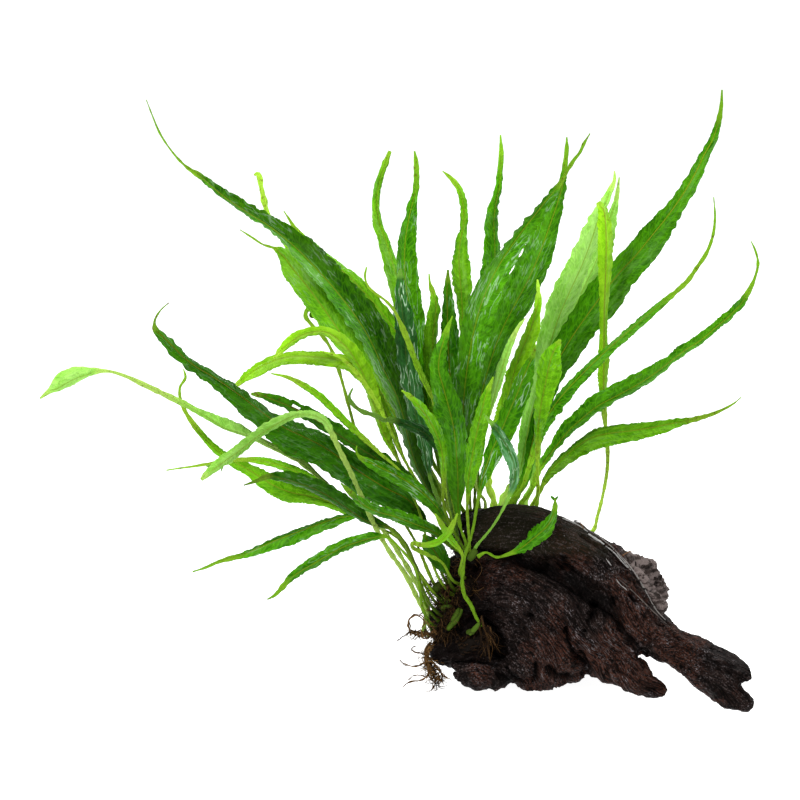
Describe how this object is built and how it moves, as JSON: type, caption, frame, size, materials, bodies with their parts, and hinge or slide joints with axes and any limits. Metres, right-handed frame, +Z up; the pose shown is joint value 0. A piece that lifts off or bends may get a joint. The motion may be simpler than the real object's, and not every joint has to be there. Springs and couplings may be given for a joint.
{
  "type": "java fern on driftwood",
  "caption": "Aquarium fern with long narrow wavy-edged leaves fanned from a creeping rhizome that grips a dark forked driftwood stump",
  "frame": {"origin": "on the flat underside of the driftwood trunk, on the floor plane", "axes": "+Z up, +X along the width of the leaf fan towards the long wooden arm, -Y towards the viewer"},
  "size_m": [0.2795, 0.148, 0.2343],
  "materials": {
    "glossy_green": "glossy dark green leaf",
    "dark_green": "dark green leaf",
    "fresh_green": "fresh green leaf",
    "yellow_green": "young yellow-green leaf",
    "pale_green": "pale green leaf",
    "blue_green": "wet blue-green leaf",
    "wet_driftwood": "wet, dark brown-black, grained",
    "grey_driftwood": "damp, grey-brown",
    "rhizome": "rough, scaly",
    "roots": "rough, fibrous"
  },
  "bodies": {
    "root": {"leaf_left_sweep": "glossy_green", "leaf_left_sweep_pale": "fresh_green", "leaf_left_sweep_dark": "fresh_green", "leaf_left_hook": "yellow_green", "leaf_left_bent": "yellow_green", "leaf_left_broad": "yellow_green", "leaf_left_thread": "fresh_green", "leaf_left_short": "fresh_green", "leaf_left_coiled": "fresh_green", "leaf_left_big": "dark_green", "leaf_left_holed": "dark_green", "leaf_left_arching": "pale_green", "leaf_left_longest": "pale_green", "leaf_left_thin": "fresh_green", "leaf_left_wide_low": "dark_green", "leaf_left_light": "fresh_green", "leaf_left_low": "glossy_green", "leaf_left_lowest": "glossy_green", "leaf_front_left": "glossy_green", "leaf_front_glossy": "glossy_green", "leaf_front_twisted": "dark_green", "leaf_top_wet": "blue_green", "leaf_top_left": "fresh_green", "leaf_top_left_inner": "glossy_green", "leaf_top_thread": "yellow_green", "leaf_top_light": "fresh_green", "leaf_top_dark": "dark_green", "leaf_top_crooked": "fresh_green", "leaf_top_middle": "glossy_green", "leaf_top_big_front": "glossy_green", "leaf_top_big_back": "glossy_green", "leaf_middle_pale": "pale_green", "leaf_middle_bright": "yellow_green", "leaf_front_stalked": "dark_green", "leaf_right_pale": "pale_green", "leaf_right_pale_back": "pale_green", "leaf_front_upright": "fresh_green", "leaf_right_upright": "yellow_green", "leaf_right_big": "glossy_green", "leaf_right_dusty": "glossy_green", "leaf_right_long": "glossy_green", "leaf_right_low": "fresh_green", "leaf_on_wood": "glossy_green", "leaf_front_bluish": "blue_green", "leaf_front_middle": "glossy_green", "leaf_front_small": "fresh_green", "leaf_front_bright": "fresh_green", "leaf_front_curled": "pale_green", "leaf_low_dark": "dark_green", "leaf_front_sprout": "yellow_green", "wood_trunk": "wet_driftwood", "wood_long_arm": "wet_driftwood", "wood_middle_prong": "wet_driftwood", "wood_back_knob": "grey_driftwood", "rhizome_lower": "rhizome", "rhizome_upper": "rhizome", "rhizome_front": "rhizome", "roots_left_mass": "roots", "roots_left_loop": "roots", "roots_front": "roots"}
  },
  "joints": []
}
